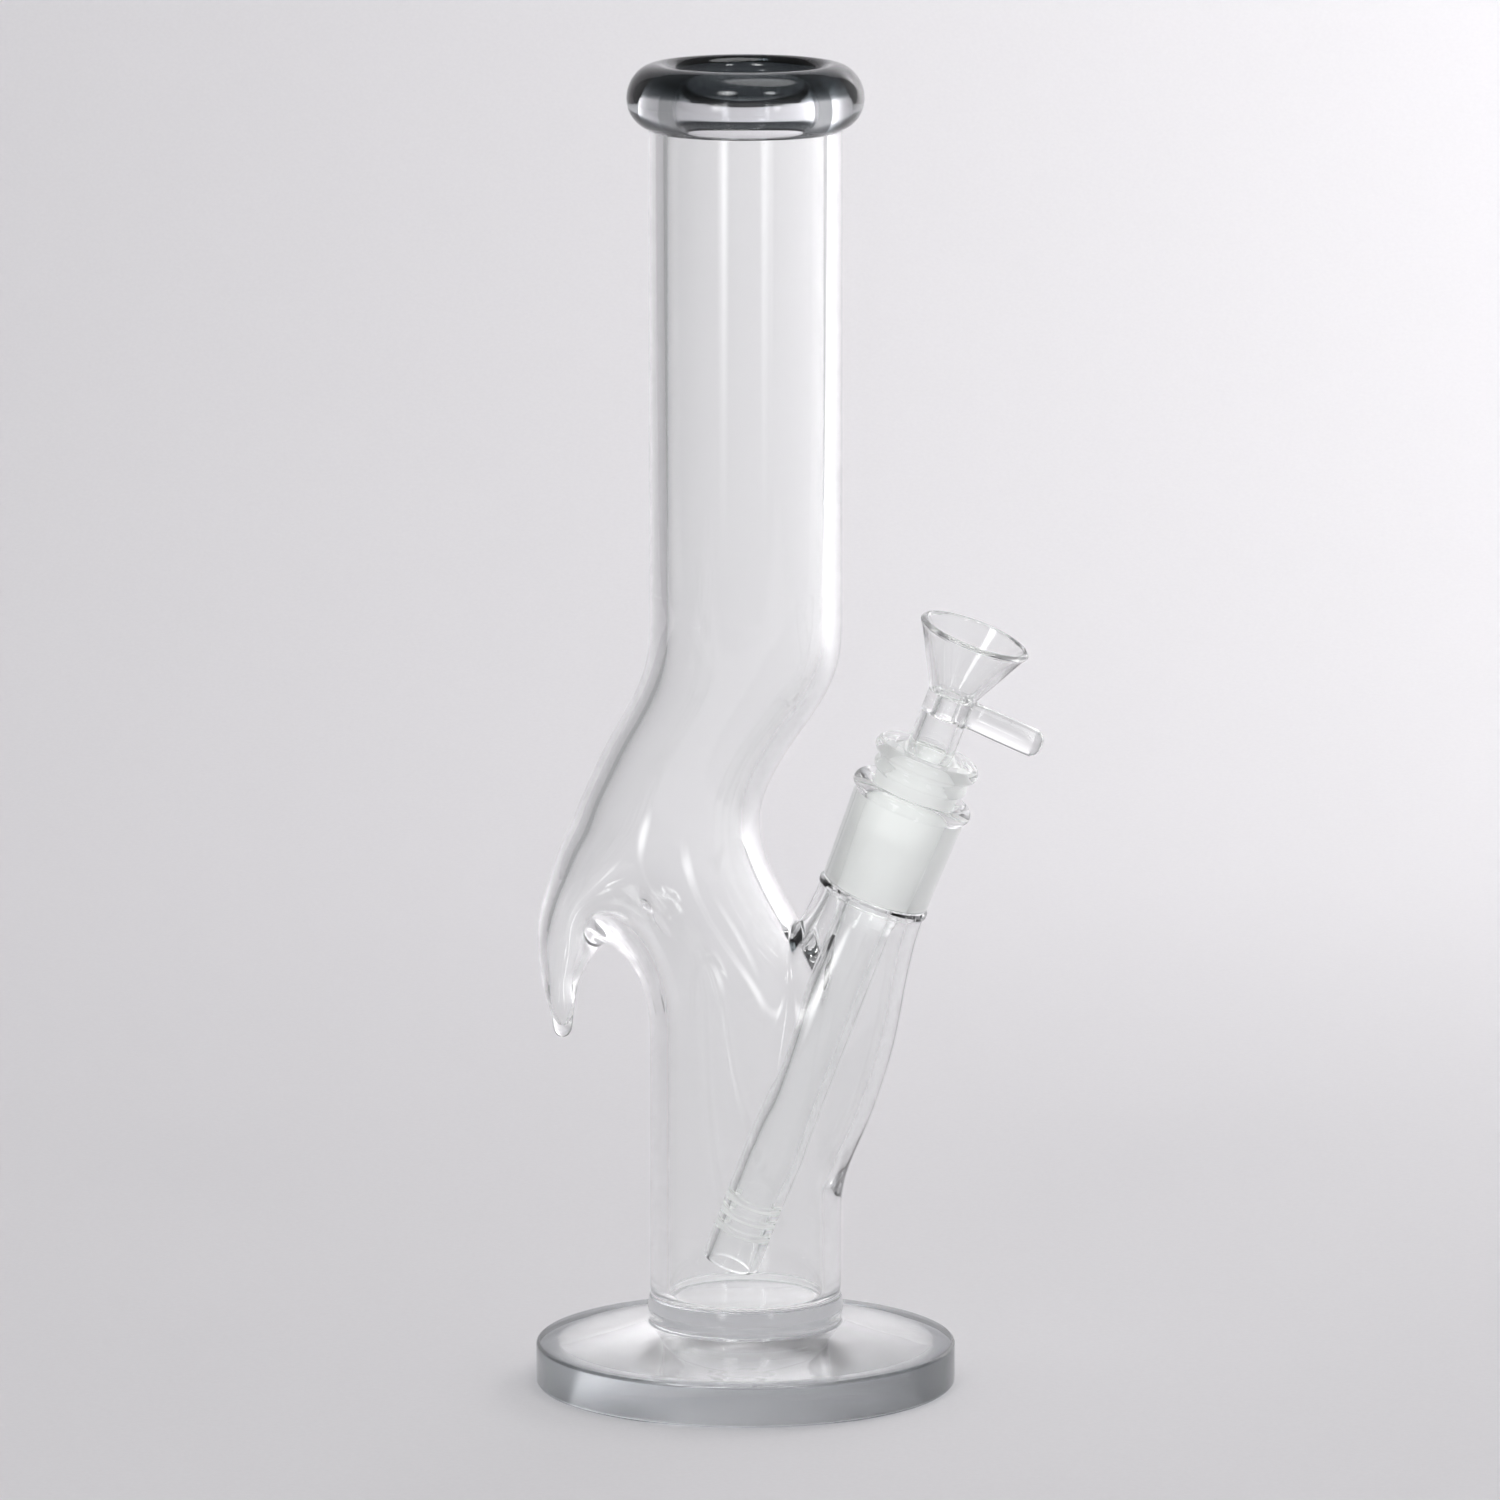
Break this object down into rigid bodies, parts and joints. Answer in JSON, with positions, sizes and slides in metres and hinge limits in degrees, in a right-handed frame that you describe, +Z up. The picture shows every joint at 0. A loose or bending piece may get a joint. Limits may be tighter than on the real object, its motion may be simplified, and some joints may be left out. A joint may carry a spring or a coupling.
{
  "type": "glass water pipe",
  "caption": "Clear glass water pipe with a bent neck, drawn hook, round foot, smoked mouth ring and angled ground socket holding a lift-out downstem and funnel bowl.",
  "frame": {"origin": "centre of the foot's underside", "axes": "+Z up along the main tube, +X towards the angled socket and bowl, -X towards the hook"},
  "size_m": [0.115, 0.0924, 0.2919],
  "materials": {
    "clear_glass": "fire-polished clear glass",
    "smoke_glass": "fire-polished grey smoked glass",
    "frosted_glass": "ground, frosted glass"
  },
  "bodies": {
    "root": {"foot_disc": "clear_glass", "foot_smoke_rim": "smoke_glass", "tube_floor": "clear_glass", "body_tube": "clear_glass", "side_arm": "clear_glass", "mouth_ring": "smoke_glass", "socket_tail": "clear_glass", "socket_sleeve": "frosted_glass", "socket_rim": "clear_glass"},
    "downstem_cone": {"downstem_plug": "frosted_glass"},
    "downstem": {"downstem_cup": "clear_glass", "downstem_tube": "clear_glass", "diffuser_tip": "clear_glass"},
    "bowl_cone": {"bowl_plug": "frosted_glass"},
    "bowl": {"bowl_stem": "clear_glass", "bowl_throat": "clear_glass", "bowl_funnel": "clear_glass", "bowl_handle": "clear_glass"}
  },
  "joints": [
    {"name": "downstem_lift", "type": "slide", "parent": "root", "child": "downstem_cone", "axis": [0.3633, 0, 0.9317], "range_m": [0, 0.125]},
    {"name": "downstem_twist", "type": "hinge", "parent": "downstem_cone", "child": "downstem", "pos_m": [0, 0, 0.036], "axis": [0.3633, 0, 0.9317], "continuous": true},
    {"name": "bowl_lift", "type": "slide", "parent": "downstem", "child": "bowl_cone", "axis": [0.3633, 0, 0.9317], "range_m": [0, 0.03]},
    {"name": "bowl_twist", "type": "hinge", "parent": "bowl_cone", "child": "bowl", "pos_m": [0, 0, 0.036], "axis": [0.3633, 0, 0.9317], "continuous": true}
  ]
}
